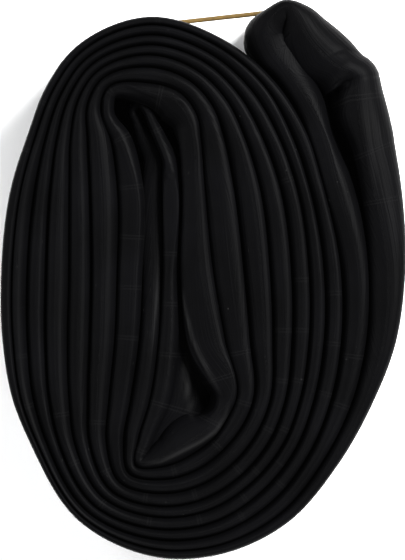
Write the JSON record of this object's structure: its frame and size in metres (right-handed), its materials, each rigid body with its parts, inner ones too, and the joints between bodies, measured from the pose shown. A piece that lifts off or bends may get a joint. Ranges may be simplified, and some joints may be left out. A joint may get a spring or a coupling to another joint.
{
  "type": "bicycle inner tube",
  "caption": "Deflated bicycle inner tube, folded double, rolled into an oval and held by a rubber band, with its valve and cap inside the loose outer fold.",
  "frame": {"origin": "centre of the roll's bounding box at its underside, the lower edge of the pressed tube", "axes": "+Z along the roll's axis, upward from the rest face; +Y along the roll's long way, towards the end with the loose outer fold; +X across the roll, towards the side with the loose outer fold"},
  "size_m": [0.0824, 0.1136, 0.048],
  "materials": {
    "butyl_rubber": "satin, faintly talced",
    "natural_rubber": "matte",
    "brass": "turned",
    "spring_steel": "drawn wire",
    "seal_rubber": "matte",
    "black_plastic": "moulded"
  },
  "bodies": {
    "roll": {"tube": "butyl_rubber", "rubber_band": "natural_rubber", "valve_base": "seal_rubber", "valve_stem": "brass", "core_body": "brass", "core_gasket": "seal_rubber"},
    "core": {"core_pin": "brass", "core_cup": "brass", "core_seal": "seal_rubber", "core_spring": "spring_steel"},
    "cap_travel": {"cap_seal": "seal_rubber"},
    "cap": {"valve_cap": "black_plastic"}
  },
  "joints": [
    {"name": "core_press", "type": "slide", "parent": "roll", "child": "core", "axis": [-0.1219, 0.9925, 0], "range_m": [0, 0.0015], "stiffness_N_per_m": 800, "springref_m": -0.001, "deforming": ["core_spring"]},
    {"name": "cap_travel", "type": "slide", "parent": "roll", "child": "cap_travel", "axis": [0.1219, -0.9925, 0], "range_m": [0, 0.00318]},
    {"name": "cap_unscrew", "type": "hinge", "parent": "cap_travel", "child": "cap", "pos_m": [0.03247, 0.01191, 0.024], "axis": [0.1219, -0.9925, 0], "range_deg": [0, 1440]}
  ],
  "couplings": [
    {"joint": "cap_unscrew", "follows": "cap_travel", "rad_per_m": 7913.3}
  ]
}
